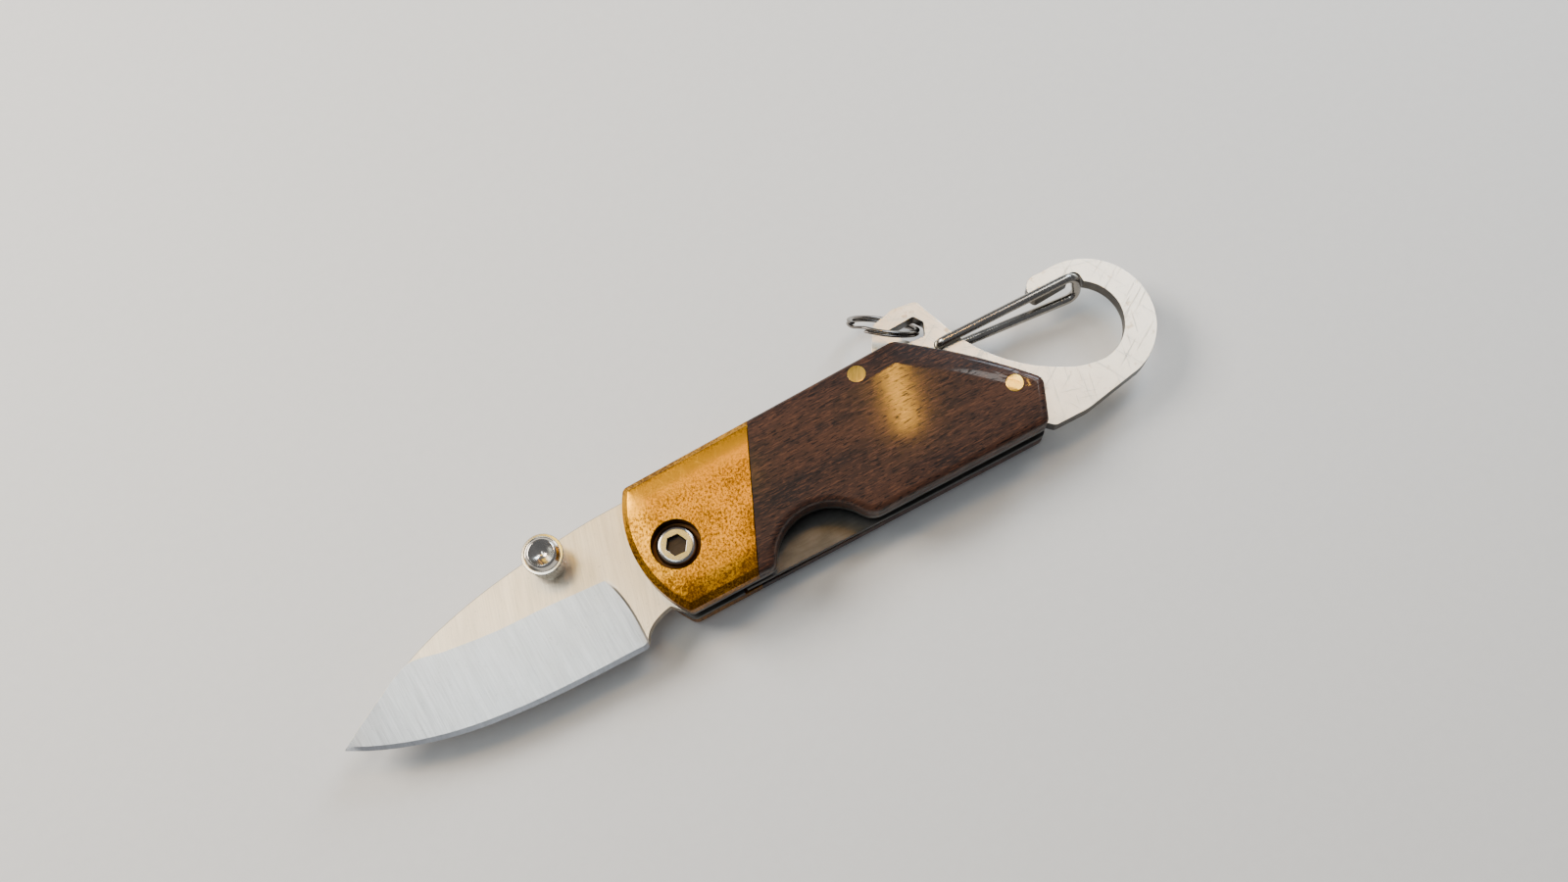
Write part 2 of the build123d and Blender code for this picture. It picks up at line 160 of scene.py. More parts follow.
class Finish:
    """A material under construction."""

    def __init__(self, name, **constants):
        self.material = bpy.data.materials.new(name)
        self.material.use_nodes = True
        self.tree = self.material.node_tree
        self.shader = self.tree.nodes["Principled BSDF"]
        for name, value in constants.items():
            self.entry(name).default_value = value

    def entry(self, name):
        """The shader's input with a name such as base_color."""
        return self.shader.inputs[name.replace("_", " ").title().replace("Ior", "IOR")]

    def node(self, kind, settings=None, inputs=None, out=0):
        """Add a node: its settings first, then values or links of its sockets."""
        made = self.tree.nodes.new(kind)
        for key, value in (settings or {}).items():
            if key == "stops":
                ramp = made.color_ramp.elements
                while len(ramp) < len(value):
                    ramp.new(0.5)
                for element, (position, shade) in zip(ramp, value):
                    element.position = position
                    element.color = (shade, shade, shade, 1)
            else:
                setattr(made, key, value)
        pairs = inputs.items() if isinstance(inputs, dict) else enumerate(inputs or ())
        for key, value in pairs:
            if isinstance(value, Signal):
                self.tree.links.new(value.socket, made.inputs[key])
            else:
                made.inputs[key].default_value = value
        return Signal(self, made.outputs[out])

    def place(self, scale=(1, 1, 1), turn=0.0, shift=(0, 0, 0)):
        """Object coordinates, turned about Z in degrees and scaled per millimetre."""
        where = self.node("ShaderNodeTexCoord", out=3)
        turned = self.node(
            "ShaderNodeMapping", {"vector_type": "POINT"},
            {"Vector": where, "Rotation": (0, 0, radians(turn)), "Scale": (1 / MM,) * 3},
        )
        return self.node(
            "ShaderNodeMapping", {"vector_type": "POINT"},
            {"Vector": turned, "Location": shift, "Scale": scale},
        )

    def noise(self, vector, scale=1.0, detail=3.0, roughness=0.55, distortion=0.0):
        """Noise from 0 to 1 over a placed pattern."""
        return self.node(
            "ShaderNodeTexNoise", None,
            {
                "Vector": vector, "Scale": scale, "Detail": detail,
                "Roughness": roughness, "Distortion": distortion,
            },
        )

    def ramp(self, value, *stops):
        """Remap a value through a grey ramp."""
        return self.node("ShaderNodeValToRGB", {"stops": stops}, [value])

    def mix(self, factor, first, second):
        """Mix two colours."""
        return self.node(
            "ShaderNodeMix", {"data_type": "RGBA"}, {0: factor, 6: first, 7: second}, out=2
        )

    def bump(self, height, strength, distance, under=None):
        """A bump over an optional earlier one."""
        sockets = {"Height": height, "Strength": strength, "Distance": distance * MM}
        if under is not None:
            sockets["Normal"] = under
        return self.node("ShaderNodeBump", None, sockets)

    def feed(self, **signals):
        """Link varying values to the shader."""
        for name, signal in signals.items():
            self.tree.links.new(signal.socket, self.entry(name))
        return self.material


def rgba(values):
    """A colour with full alpha."""
    return (*values, 1.0)


def shade(values, factor):
    """A colour made darker or lighter."""
    return tuple(min(1.0, value * factor) for value in values) + (1.0,)


# ---- finishes --------------------------------------------------------------------------
GENTLE = ((0.3, 0), (0.7, 1))       # stops of the ramp that most patterns go through


def ground_steel(name, base, turn, rough, contrast):
    """Steel ground on a belt: fine lines one way, faint haze and specks."""
    made = Finish(name, metallic=1.0, roughness=rough)
    lines = made.noise(made.place(scale=(4.6, 0.16, 1), turn=turn), detail=5.0, roughness=0.7)
    broad = made.noise(made.place(scale=(1.1, 0.1, 1), turn=turn + 2), detail=3.0)
    haze = made.noise(made.place(scale=(0.14, 0.14, 0.14)), detail=4.0)
    dots = made.noise(made.place(scale=(2.6, 2.6, 2.6)), detail=2.0)
    specks = made.ramp(dots, (0.66, 0), (0.72, 1))
    grain = lines * 0.7 + broad * 0.3
    tone = made.mix(made.ramp(grain, *GENTLE), shade(base, 1 - contrast), shade(base, 1.12))
    tone = made.mix(made.ramp(haze, (0.35, 0), (0.7, 1)) * 0.35, tone, shade(base, 0.82))
    tone = made.mix(specks * 0.4, tone, shade(base, 0.45))
    return made.feed(
        base_color=tone,
        roughness=rough - 0.06 + lines * 0.14 + haze * 0.08,
        normal=made.bump(lines, 0.6, 0.02),
    )


def scratch_marks(made, turns, fineness=1.0):
    """Thin straight scratches in several directions, 1 on a scratch."""
    total = None
    for index, turn in enumerate(turns):
        stretched = made.place(
            scale=(0.14, 3.6 * fineness, 1), turn=turn, shift=(index * 7.3, index * 3.1, 0)
        )
        mark = made.ramp(made.noise(stretched, detail=2.0), (0.64, 0), (0.70, 1))
        total = mark if total is None else total + mark
    return total


RUST = (0.40, 0.28, 0.15)


def tumbled_steel(name, base, rough, stain):
    """Stainless sheet with fine random scratches and a few rusty stains."""
    made = Finish(name, metallic=1.0, roughness=rough)
    scratches = scratch_marks(made, (17, 63, 104, 148))
    clouds = made.noise(made.place(scale=(0.22, 0.22, 0.22)), detail=4.0)
    patches = made.noise(made.place(scale=(0.7, 0.7, 0.7)), detail=4.0)
    spots = made.ramp(patches, (0.60, 0), (0.70, 1))
    tone = made.mix(made.ramp(clouds, *GENTLE), shade(base, 0.86), shade(base, 1.06))
    tone = made.mix(spots * stain, tone, rgba(RUST))
    tone = made.mix(scratches * 0.30, tone, shade(base, 0.55))
    return made.feed(
        base_color=tone,
        roughness=rough - 0.06 + clouds * 0.14 + scratches * 0.1,
        normal=made.bump(scratches, 0.3, 0.02),
    )


def above(made, y, reach):
    """1 above a height of y millimetres from the pivot, falling to 0 over a reach below it."""
    place = made.node("ShaderNodeTexCoord", out=3)
    height = made.node("ShaderNodeSeparateXYZ", None, [place], out=1)
    low = PIVOT.y + (y - reach) * MM
    return made.node(
        "ShaderNodeMapRange", {"interpolation_type": "SMOOTHSTEP"},
        {"Value": height, "From Min": low, "From Max": PIVOT.y + y * MM},
    )


def worn_brass(name, base, patina):
    """Hand-finished brass: brown-specked orange patina, a painted highlight band under the
    spine, darker towards the belly, scratches.
    """
    made = Finish(name, metallic=1.0, roughness=0.34)
    clouds = made.noise(
        made.place(scale=(0.15, 0.15, 0.15), shift=(2.1, 0.4, 0)), detail=4.0, distortion=0.5
    )
    grains = made.noise(made.place(scale=(3.4, 2.6, 2.6), turn=20), detail=5.0, roughness=0.75)
    # painted highlight: a lighter band with fewer specks just under the spine
    rubbed = above(made, 8.6, 4.0) * (1 - above(made, 10.1, 1.6))
    # darker towards the belly
    belly = 1 - above(made, -1.5, 6.0)
    wear = clouds * 0.45 + grains * 0.45 + belly * 0.10 - rubbed * 0.06
    stained = made.ramp(wear, (0.39, 0), (0.57, 1))
    specks = made.ramp(grains + clouds * 0.25, (0.56, 0), (0.68, 1))
    scratches = scratch_marks(made, (8, 41, 77, 119, 155), fineness=1.9)
    tone = made.mix(stained * 0.85, rgba(base), rgba(patina))
    tone = made.mix(specks * (1 - rubbed) * 0.85, tone, shade(patina, 0.36))
    tone = made.mix(scratches * 0.22, tone, shade(base, 1.3))
    return made.feed(
        base_color=tone,
        roughness=0.25 + stained * 0.12 + grains * 0.12,
        normal=made.bump(grains * 0.8 - scratches * 0.2, 0.45, 0.03),
    )


def bright_brass(name, base):
    """Sanded brass."""
    made = Finish(name, metallic=1.0, roughness=0.3)
    lines = made.noise(made.place(scale=(5, 0.5, 1), turn=30), detail=4.0, roughness=0.7)
    tone = made.mix(made.ramp(lines, *GENTLE), shade(base, 0.72), shade(base, 1.15))
    return made.feed(
        base_color=tone, roughness=0.22 + lines * 0.16, normal=made.bump(lines, 0.3, 0.015)
    )


def dark_hardwood(name, base, light):
    """Dark fine-grained hardwood under a thin satin lacquer."""
    made = Finish(name, roughness=0.5, coat_roughness=0.08, specular_ior_level=0.18)
    drift = made.noise(made.place(scale=(0.045, 0.09, 0.1)), detail=3.0)
    bands = made.noise(made.place(scale=(0.06, 0.42, 0.5)), detail=5.0, distortion=0.8)
    fibres = made.noise(made.place(scale=(0.62, 4.2, 2.0)), detail=4.0, roughness=0.75)
    pores = made.ramp(
        made.noise(made.place(scale=(0.80, 5.0, 3.0), shift=(3.3, 1.7, 0)), detail=2.0),
        (0.56, 0), (0.64, 1),
    )
    streak = made.ramp(bands * 0.5 + drift * 0.5, (0.40, 0), (0.62, 1))
    tone = made.mix(streak, rgba(base), rgba(light))
    tone = made.mix(made.ramp(fibres, (0.50, 0), (0.64, 1)) * 0.7, tone, shade(light, 2.0))
    tone = made.mix(pores * 0.9, tone, shade(base, 0.25))
    return made.feed(
        base_color=tone,
        roughness=0.42 + fibres * 0.2,
        coat_weight=0.34 - pores * 0.32,
        normal=made.bump(fibres * 0.6 - pores * 0.6, 0.5, 0.04),
    )


def polished_steel(name, base, rough):
    """Turned and polished steel with light handling marks."""
    made = Finish(name, metallic=1.0, roughness=rough)
    film = made.noise(made.place(scale=(0.5, 0.5, 0.5)), detail=3.0)
    marks = scratch_marks(made, (28, 96))
    smear = made.ramp(film, (0.35, 0), (0.65, 1))
    tone = made.mix(smear, shade(base, 0.86), shade(base, 1.05))
    return made.feed(base_color=tone, roughness=rough - 0.03 + film * 0.06 + marks * 0.06)


def dark_steel(name, base, rough):
    """Rolled steel, slightly oiled, with dark streaks; the dark bases it is given here are
    painted shade.
    """
    made = Finish(name, metallic=1.0, roughness=rough)
    lines = made.noise(made.place(scale=(0.3, 3.4, 2.0)), detail=5.0, roughness=0.7)
    film = made.noise(made.place(scale=(0.35, 0.35, 0.35)), detail=4.0)
    tone = made.mix(made.ramp(film, *GENTLE), shade(base, 0.8), shade(base, 1.2))
    tone = made.mix(made.ramp(lines, (0.45, 0), (0.75, 1)) * 0.4, tone, shade(base, 0.5))
    return made.feed(
        base_color=tone, roughness=rough + lines * 0.14,
        normal=made.bump(lines, 0.3, 0.015),
    )


FINISHES = {}


def make_finishes(colours):
    """Build every finish once; slots of the same name use them."""
    FINISHES.update(
        # the flats' warm golden tint is a painted warm reflection; the bevel keeps the steel's
        # own colour
        flat_steel=ground_steel("satin_flat", (0.76, 0.66, 0.52), 14, 0.29, 0.34),
        bevel_steel=ground_steel("ground_bevel", tuple(colours.steel), -3, 0.30, 0.42),
        honed_steel=ground_steel("honed_edge", (0.62, 0.63, 0.66), 4, 0.26, 0.2),
        plate_steel=tumbled_steel("hook_plate_steel", tuple(colours.plate), 0.36, 0.6),
        # near-black steel for the hook plate's walls: painted shade
        sheared_steel=dark_steel("sheared_edge", (0.13, 0.12, 0.11), 0.36),
        # near-black steel inside the pivot screw's hex socket: painted shade
        socket_steel=dark_steel("screw_socket", (0.045, 0.035, 0.028), 0.3),
        # near-black for the bolsters' recess round the pivot: painted shade
        recess_brass=dark_steel("recess_brass", (0.10, 0.045, 0.016), 0.36),
        brass=worn_brass("bolster_brass", tuple(colours.brass), tuple(colours.patina)),
        rivet_brass=bright_brass("rivet_brass", (0.98, 0.56, 0.10)),
        dark_wood=dark_hardwood("handle_wood", tuple(colours.wood), tuple(colours.wood_light)),
        stud_steel=polished_steel("stud_steel", (0.60, 0.56, 0.50), 0.17),
        screw_steel=polished_steel("screw_steel", (0.42, 0.40, 0.38), 0.20),
        # liner steel darkened near black: painted shade in the gaps between the liners
        liner_steel=dark_steel("liner_steel", (0.10, 0.095, 0.088), 0.34),
        wire_steel=polished_steel("gate_wire", (0.36, 0.34, 0.31), 0.24),
        ring_steel=polished_steel("ring_wire", (0.20, 0.18, 0.165), 0.24),
        washer_bronze=bright_brass("washer_bronze", (0.45, 0.28, 0.15)),
    )


class KNIFE_OT_finishes(bpy.types.Operator):
    """Build the metal and wood finishes"""

    bl_idname = "knife.finishes"
    bl_label = "Finishes"

    def execute(self, context):
        make_finishes(context.scene.knife_colours)
        return {"FINISHED"}


# ---- modelling helpers -----------------------------------------------------------------
def only(obj):
    """Select one object and make it active."""
    bpy.ops.object.select_all(action="DESELECT")
    obj.select_set(True)
    bpy.context.view_layer.objects.active = obj


def edit(obj, pick="SELECT", kind="VERT"):
    """Go into edit mode on one object with everything picked or nothing."""
    only(obj)
    bpy.ops.object.mode_set(mode="EDIT")
    bpy.ops.mesh.select_mode(type=kind)
    bpy.ops.mesh.select_all(action=pick)


def leave_edit():
    """Back to object mode."""
    bpy.ops.object.mode_set(mode="OBJECT")


def finish_piece(obj, name, body, slot, replaced, smooth=35, flats=True):
    """Name, shade and file a finished piece; flats keeps its large faces flat-shaded."""
    obj.name = name
    obj.data.name = name
    only(obj)
    bpy.ops.object.shade_smooth_by_angle(angle=radians(smooth))
    if flats:
        weighted = obj.modifiers.new("flat_faces_stay_flat", "WEIGHTED_NORMAL")
        weighted.keep_sharp = True
        bpy.ops.object.modifier_apply(modifier=weighted.name)
    if slot in FINISHES:
        obj.data.materials.clear()
        obj.data.materials.append(FINISHES[slot])
    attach(obj, body)
    if replaced:
        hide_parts(*replaced)
    return obj


def paint(obj, finish, test):
    """Give a second finish to the faces that pass a test of centre and normal; here it paints
    shade on walls, sockets and recesses.
    """
    obj.data.materials.append(FINISHES[finish])
    for face in obj.data.polygons:
        if test(face.center, face.normal):
            face.material_index = len(obj.data.materials) - 1
    return obj


def near_pivot(point, radius):
    """True within a radius in millimetres of the pivot axis."""
    return Vector((point.x - PIVOT.x, point.y - PIVOT.y)).length < radius * MM


def merged_copy(node, flat_angle=0.4):
    """Copy of a CAD node with its points merged and its flat faces joined."""
    source = frame["nodes"][node]
    obj = bpy.data.objects.new(node + "_copy", source.data.copy())
    bpy.context.scene.collection.objects.link(obj)
    if obj.data.has_custom_normals:
        only(obj)
        bpy.ops.mesh.customdata_custom_splitnormals_clear()
    edit(obj)
    bpy.ops.mesh.remove_doubles(threshold=0.001 * MM)
    if flat_angle is not None:
        bpy.ops.mesh.dissolve_limited(angle_limit=radians(flat_angle))
    bpy.ops.mesh.normals_make_consistent(inside=False)
    leave_edit()
    return obj


def soften(obj, width, segments=3, angle=28):
    """Round the edges that are sharper than an angle."""
    only(obj)
    bevel = obj.modifiers.new("soft_edges", "BEVEL")
    bevel.width = width
    bevel.segments = segments
    bevel.limit_method = "ANGLE"
    bevel.angle_limit = radians(angle)
    bevel.use_clamp_overlap = True
    bpy.ops.object.modifier_apply(modifier=bevel.name)
    return obj


def refined(node, result, width, slot, body="handle", crowned=False):
    """A CAD shape with softened edges and its finish, named after the node and the result."""
    obj = soften(merged_copy(node), width)
    if crowned:
        crown(obj)
    return finish_piece(obj, f"{node}_{result}", body, slot, [node])


# the handle's outline in millimetres from the pivot, for the crowning of its faces
SPINE_LINE = ((-2.8, 10.1), (37.5, 11.25))
TAIL_LINES = (((37.5, 11.25), (45.6, 4.85)), ((45.1, 5.4), (52.4, -2.7)))
BELLY_Y = -8.4
NOSE_CENTRE = (21.4, 0.65)
NOSE_RADIUS = 26.85
CROWN_DROP = 0.42         # how far the faces have fallen at the outline
CROWN_REACH = 3.4         # how far inside it the fall begins
CROWN_STEPS = (0.95, 1.3, 1.7, 2.2, 2.8, 3.4)
CROWN_DEPTH = 2.6         # the fall fades out over this depth below a face


def rim_distance(x, y):
    """How far a point of the handle lies inside the outline, in millimetres."""
    from_nose = Vector((x - NOSE_CENTRE[0], y - NOSE_CENTRE[1]))
    found = [y - BELLY_Y, NOSE_RADIUS - from_nose.length]
    for (x0, y0), (x1, y1) in (SPINE_LINE, *TAIL_LINES):
        run = Vector((x1 - x0, y1 - y0))
        found.append((run.y * (x - x0) - run.x * (y - y0)) / run.length)
    return max(0.0, min(found))


def crown_cuts():
    """Upright planes along the handle's outline, at growing distances inside it."""
    for (x0, y0), (x1, y1) in (SPINE_LINE, *TAIL_LINES):
        run = Vector((x1 - x0, y1 - y0)).normalized()
        inward = Vector((run.y, -run.x))
        for step in CROWN_STEPS:
            place = from_pivot(x0 + inward.x * step, y0 + inward.y * step)
            yield place, (inward.x, inward.y, 0)
    nose_x = NOSE_CENTRE[0] - NOSE_RADIUS
    for step in CROWN_STEPS:
        yield from_pivot(0, BELLY_Y + step), (0, 1, 0)
        yield from_pivot(nose_x + step, 0), (1, 0, 0)
        yield from_pivot(nose_x + step + CROWN_REACH, 0), (1, 0, 0)


def crown(obj):
    """Let the outer face fall away gently towards the handle's outline."""
    low = min(point.co.z for point in obj.data.vertices)
    high = max(point.co.z for point in obj.data.vertices)
    sides = [
        (level, sign) for level, outer, sign in ((high, TOP_Z, 1), (low, 0, -1))
        if abs(level - outer) < 0.1 * MM
    ]
    for place, normal in crown_cuts():
        edit(obj, "DESELECT", kind="FACE")
        leave_edit()
        for face in obj.data.polygons:
            face.select = any(
                abs(face.center.z - level) < 0.001 * MM and face.normal.z * sign > 0.99
                for level, sign in sides
            )
        bpy.ops.object.mode_set(mode="EDIT")
        bpy.ops.mesh.bisect(plane_co=place, plane_no=normal)
        leave_edit()
    for point in obj.data.vertices:
        x, y = (point.co.x - PIVOT.x) / MM, (point.co.y - PIVOT.y) / MM
        share = min(1.0, rim_distance(x, y) / CROWN_REACH)
        fall = CROWN_DROP * (1 - share) ** 2 * (2 * share + 1)
        for level, sign in sides:
            height = 1 - abs(point.co.z - level) / (CROWN_DEPTH * MM)
            point.co.z -= sign * fall * MM * max(0.0, height)


def close_openings():
    """Fill the open border of the mesh being edited, face it outward and leave it."""
    bpy.ops.mesh.select_all(action="DESELECT")
    bpy.ops.mesh.select_non_manifold()
    bpy.ops.mesh.edge_face_add()
    bpy.ops.mesh.select_all(action="SELECT")
    bpy.ops.mesh.normals_make_consistent(inside=False)
    leave_edit()


def lathe(centre, profile, points):
    """Turned shape: a circle extruded ring by ring through (radius, height) pairs."""
    radius, height = profile[0]
    bpy.ops.object.select_all(action="DESELECT")
    bpy.ops.mesh.primitive_circle_add(
        vertices=points, radius=radius, location=(centre.x, centre.y, height)
    )
    obj = bpy.context.object
    bpy.ops.object.transform_apply(location=True, rotation=True, scale=True)
    edit(obj)
    for next_radius, next_height in profile[1:]:
        bpy.ops.mesh.extrude_region_move(
            TRANSFORM_OT_translate={"value": (0, 0, next_height - height)}
        )
        bpy.ops.transform.resize(
            value=(next_radius / radius, next_radius / radius, 1),
            center_override=(centre.x, centre.y, next_height),
        )
        radius, height = next_radius, next_height
    bpy.ops.mesh.merge(type="CENTER")
    close_openings()
    return obj


# ---- blade -----------------------------------------------------------------------------
# stations along the blade in millimetres from the pivot:
# x, spine, grind line, edge, half thickness
STATIONS = (
    (-49.0, -2.60, -2.60, -2.70, 0.05),
    (-46.0, -0.75, -0.85, -4.25, 0.42),
    (-42.0, 1.42, 1.32, -5.85, 0.78),
    (-37.5, 3.50, 3.40, -7.20, 1.03),
    (-32.5, 5.40, 2.65, -8.20, 1.03),
    (-26.0, 7.10, 1.90, -8.90, 1.03),
    (-18.5, 8.35, 1.65, -9.20, 1.03),
    (-9.4, 9.30, 1.10, -9.25, 1.03),
    (-3.4, 9.52, 0.90, -9.25, 1.03),
)
# lower outline of the unground part, from the heel over the choil into the handle
CHOIL = (
    (-9.0, -9.15), (-8.85, -8.75), (-8.55, -8.15), (-8.0, -7.45), (-7.1, -6.80),
    (-5.8, -6.25), (-4.6, -5.93), (-4.15, -5.95), (-3.4, -6.66),
)
PLUNGE_TOP = (-10.3, 1.2)
PLUNGE_FOOT = (-8.95, -7.0)
PLUNGE_WIDTH = 0.30
PLUNGE_CURVE = 2.4        # 1 would be a straight plunge line
COLUMN_CROWDING = 1.15    # over 1 crowds the grid's columns at the tip
TANG_CUT = -3.4           # x where the grid ends inside the handle
TANG_LAP = 0.3            # the tang's own shape starts this much before it
EDGE_HALF = 0.03          # half width of the flat that honing leaves
HONED_HALF = 0.20         # half thickness where the honed strip starts

# the blade's grid: rows run from the spine to the edge, columns from the tip backwards
FLAT_ROWS = 8
BEVEL_ROWS = 22
HONED_ROWS = 3
GRIND_ROW = 2 + FLAT_ROWS
HONED_ROW = GRIND_ROW + BEVEL_ROWS
LAST_ROW = HONED_ROW + HONED_ROWS + 1
GROUND_COLUMNS = 110
LAST_COLUMN = GROUND_COLUMNS + 27
SETTLING_ROUNDS = 6

STUD_SHANK = 1.25 * MM
STUD_FOOT = 2.25 * MM
STUD_FOOT_HEIGHT = 1.7 * MM
STUD_GRIP = 2.45 * MM
STUD_FLANGE_DROP = 1.2 * MM
# the stud's crown and dimple in millimetres: radius, and depth below its top
STUD_CROWN = (
    (2.33, 0.88), (2.23, 0.76), (2.13, 0.52), (1.97, 0.26), (1.84, 0.09), (1.72, 0.01),
    (1.65, 0), (1.6, 0.04), (1.52, 0.14), (0.8, 0.72), (0.2, 1.18),
)
STUD_SCREW_HEAD = 1.92 * MM
COUNTERSINK = 0.65 * MM
POINTS_PER_TOOTH = 8
KNURL_STEPS = 14
KNURL_SLANT = 3.2         # radians of one tooth's pitch over the knurl's height

UPRIGHT = 0.3             # a face is a wall if its normal rises less than this
RECESS_RADIUS = 3.5
# below this depth the recess's dark finish is painted shade
RECESS_SKIN = 1.0 * MM    # deeper than this under a bolster's face, the recess is dark
# inside this radius and below the rim, the screw's socket gets painted shade
SOCKET_RADIUS = 1.7
SOCKET_RIM = 2.5          # the screw's bright rim, in widths of its rounded edge
WASHER_EDGE = 0.4         # rounding of the thin washers as a share of the liners'
RING_RADIUS = 4.63 * MM
RING_DEPTH = 0.79 * MM
RING_CROSSING = 34        # degrees over which one turn steps past the other
RING_STEPS = 150
RING_PITCH = 1.06         # distance between the turns, in widths of the wire
RING_EDGE = 0.06 * MM
RING_HEADING = radians(-38.3)
RING_START = radians(150)


def smooth_through(points, x):
    """Value at x of a smooth curve through (x, y) points."""
    last = len(points) - 2
    index = max(0, min(last, sum(1 for point in points[1:] if point[0] <= x)))
    (x0, y0), (x1, y1) = points[index], points[index + 1]

    def slope(place):
        before = points[max(place - 1, 0)]
        after = points[min(place + 1, len(points) - 1)]
        return (after[1] - before[1]) / (after[0] - before[0])

    span = x1 - x0
    t = (x - x0) / span
    return (
        (2 * t**3 - 3 * t**2 + 1) * y0 + (t**3 - 2 * t**2 + t) * span * slope(index)
        + (3 * t**2 - 2 * t**3) * y1 + (t**3 - t**2) * span * slope(index + 1)
    )


def along_blade(column):
    """One measure of the stations, as (x, value) points."""
    return [(station[0], station[column]) for station in STATIONS]


SPINE, GRIND, EDGE, HALF = (along_blade(column) for column in (1, 2, 3, 4))


def lower_outline(x):
    """Height of the cutting edge, and of the choil behind it."""
    return smooth_through(CHOIL if x > CHOIL[0][0] else EDGE, x)


def plunge_x(y):
    """Where the grind stops at height y: a line that curves forward at its top."""
    drop = (PLUNGE_TOP[1] - y) / (PLUNGE_TOP[1] - PLUNGE_FOOT[1])
    drop = max(0.0, min(1.0, drop))
    return PLUNGE_TOP[0] + (PLUNGE_FOOT[0] - PLUNGE_TOP[0]) * (1 - (1 - drop) ** PLUNGE_CURVE)


def blade_row(row, x, sizes):
    """Height of a grid row at x."""
    spine, grind, edge = smooth_through(SPINE, x), smooth_through(GRIND, x), lower_outline(x)
    flat_top = spine - min(sizes.spine_chamfer / MM, (spine - grind) * 0.5)
    honed_top = edge + min(sizes.honed_width / MM, (grind - edge) * 0.5)
    if row < 2:
        return spine
    if row <= GRIND_ROW:
        return flat_top + (grind - flat_top) * (row - 2) / FLAT_ROWS
    if row <= HONED_ROW:
        return grind + (honed_top - grind) * (row - GRIND_ROW) / BEVEL_ROWS
    return honed_top + (edge - honed_top) * min(1.0, (row - HONED_ROW) / HONED_ROWS)


def blade_half(row, x, is_ground, sizes):
    """Half thickness of the blade at a grid point."""
    full = smooth_through(HALF, x)
    if row in (0, LAST_ROW):
        return 0.0
    if row == 1:
        return full - min(sizes.spine_chamfer / MM, full * 0.5)
    if not is_ground or row <= GRIND_ROW:
        return full
    shoulder = min(HONED_HALF, full * 0.6)
    if row <= HONED_ROW:
        return full + (shoulder - full) * (row - GRIND_ROW) / BEVEL_ROWS
    return shoulder + (EDGE_HALF - shoulder) * min(1.0, (row - HONED_ROW) / HONED_ROWS)


def lay_blade_grid(sizes):
    """One side of the blade, from the tip to inside the handle, as a shaped grid.

    The plunge line depends on the height and the height on x, so each point is settled in
    a few rounds.
    """
    bpy.ops.object.select_all(action="DESELECT")
    bpy.ops.mesh.primitive_grid_add(
        x_subdivisions=LAST_COLUMN, y_subdivisions=LAST_ROW, size=1
    )
    obj = bpy.context.object
    tip_x = STATIONS[0][0]
    for column in range(LAST_COLUMN + 1):
        is_ground = column <= GROUND_COLUMNS
        for row in range(LAST_ROW + 1):
            y = 0.0
            for _ in range(SETTLING_ROUNDS):
                stop = plunge_x(y)
                if is_ground:
                    x = tip_x + (stop - tip_x) * (column / GROUND_COLUMNS) ** COLUMN_CROWDING
                else:
                    share = (column - GROUND_COLUMNS - 1) / (LAST_COLUMN - GROUND_COLUMNS - 1)
                    start = stop + PLUNGE_WIDTH
                    x = start + (TANG_CUT - start) * share
                y = blade_row(row, x, sizes)
            half = 0.0 if column == 0 else blade_half(row, x, is_ground, sizes)
            point = obj.data.vertices[row * (LAST_COLUMN + 1) + column]
            point.co = (PIVOT.x + x * MM, PIVOT.y + y * MM, half * MM)
    for name in ("flat_steel", "bevel_steel", "honed_steel"):
        obj.data.materials.append(FINISHES[name])
    for face in obj.data.polygons:
        row, column = divmod(min(face.vertices), LAST_COLUMN + 1)
        if column < GROUND_COLUMNS and row >= HONED_ROW:
            face.material_index = 2
        elif column < GROUND_COLUMNS and row >= GRIND_ROW:
            face.material_index = 1
    return obj


def cut_away(obj, cutter, operation="DIFFERENCE"):
    """Combine an object with a cutter, which is used up."""
    only(obj)
    boolean = obj.modifiers.new("combine", "BOOLEAN")
    boolean.operation = operation
    boolean.solver = "EXACT"
    boolean.object = cutter
    bpy.ops.object.modifier_apply(modifier=boolean.name)
    bpy.data.objects.remove(cutter)
    return obj


def sharpen_finish_borders(obj):
    """Mark edges between faces of different finishes as sharp."""
    sides = {}
    for face in obj.data.polygons:
        for key in face.edge_keys:
            sides.setdefault(key, set()).add(face.material_index)
    for edge in obj.data.edges:
        if len(sides[edge.key]) > 1:
            edge.use_edge_sharp = True


